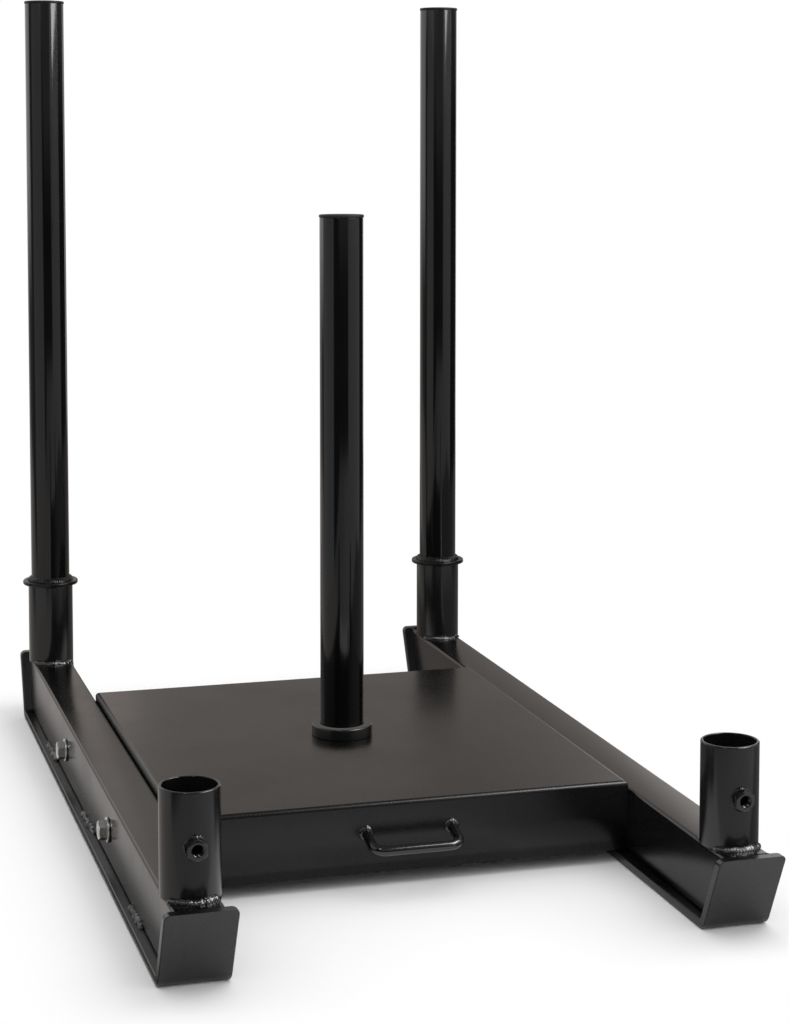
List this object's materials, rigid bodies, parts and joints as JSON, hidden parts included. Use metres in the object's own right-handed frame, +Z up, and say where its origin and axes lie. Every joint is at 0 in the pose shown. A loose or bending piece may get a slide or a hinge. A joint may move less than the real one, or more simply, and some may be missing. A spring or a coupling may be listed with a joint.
{
  "type": "push sled",
  "caption": "Weight sled on two turned-up runners with a bolted folded deck, a fixed weight post, a pull handle, corner post sockets and lift-out push posts.",
  "frame": {"origin": "on the floor under the middle of the two runners, at the bottom centre of the bounding box", "axes": "+Z up, -Y towards the front end with the pull handle, +Y towards the push posts, +X to the right seen from the front"},
  "size_m": [0.613, 1.0778, 0.9526],
  "materials": {
    "skid_coat": "semi-gloss black powder coat",
    "rail_coat": "semi-gloss black powder coat",
    "socket_coat": "semi-gloss black powder coat",
    "deck_coat": "semi-gloss black powder coat",
    "post_coat": "gloss black powder coat",
    "collar_coat": "gloss black powder coat",
    "handle_coat": "gloss black powder coat",
    "cap": "satin black plastic",
    "zinc": "bright zinc plated"
  },
  "bodies": {
    "frame": {"left_skid": "skid_coat", "left_rail": "rail_coat", "left_front_skid_end": "skid_coat", "front_left_socket": "socket_coat", "front_left_socket_nut": "socket_coat", "left_front_rail_bolt": "zinc", "left_front_rail_nut": "zinc", "left_front_rail_washer_outer": "zinc", "left_front_rail_washer_inner": "zinc", "left_rear_skid_end": "skid_coat", "rear_left_socket": "socket_coat", "rear_left_socket_nut": "socket_coat", "left_rear_rail_bolt": "zinc", "left_rear_rail_nut": "zinc", "left_rear_rail_washer_outer": "zinc", "left_rear_rail_washer_inner": "zinc", "right_skid": "skid_coat", "right_rail": "rail_coat", "right_front_skid_end": "skid_coat", "front_right_socket": "socket_coat", "front_right_socket_nut": "socket_coat", "right_front_rail_bolt": "zinc", "right_front_rail_nut": "zinc", "right_front_rail_washer_outer": "zinc", "right_front_rail_washer_inner": "zinc", "right_rear_skid_end": "skid_coat", "rear_right_socket": "socket_coat", "rear_right_socket_nut": "socket_coat", "right_rear_rail_bolt": "zinc", "right_rear_rail_nut": "zinc", "right_rear_rail_washer_outer": "zinc", "right_rear_rail_washer_inner": "zinc", "deck_tray": "deck_coat", "pull_handle": "handle_coat", "weight_post_collar": "collar_coat", "weight_post_tube": "post_coat", "weight_post_cap": "cap", "weight_post_foot": "post_coat", "weight_post_backing_plate": "deck_coat", "weight_post_washer": "zinc", "weight_post_bolt": "zinc"},
    "left_post": {"left_post_tube": "post_coat", "left_post_flange": "post_coat", "left_post_cap": "cap"},
    "right_post": {"right_post_tube": "post_coat", "right_post_flange": "post_coat", "right_post_cap": "cap"},
    "left_clamp_screw": {"left_clamp_screw": "zinc"},
    "right_clamp_screw": {"right_clamp_screw": "zinc"}
  },
  "joints": [
    {"name": "left_post_lift", "type": "slide", "parent": "frame", "child": "left_post", "axis": [0, 0, 1], "range_m": [0, 0.13]},
    {"name": "right_post_lift", "type": "slide", "parent": "frame", "child": "right_post", "axis": [0, 0, 1], "range_m": [0, 0.13]},
    {"name": "left_clamp_screw_turn", "type": "hinge", "parent": "frame", "child": "left_clamp_screw", "pos_m": [-0.27, 0.52603, 0.1321], "axis": [0, 1, 0], "continuous": true},
    {"name": "right_clamp_screw_turn", "type": "hinge", "parent": "frame", "child": "right_clamp_screw", "pos_m": [0.27, 0.52603, 0.1321], "axis": [0, 1, 0], "continuous": true}
  ]
}
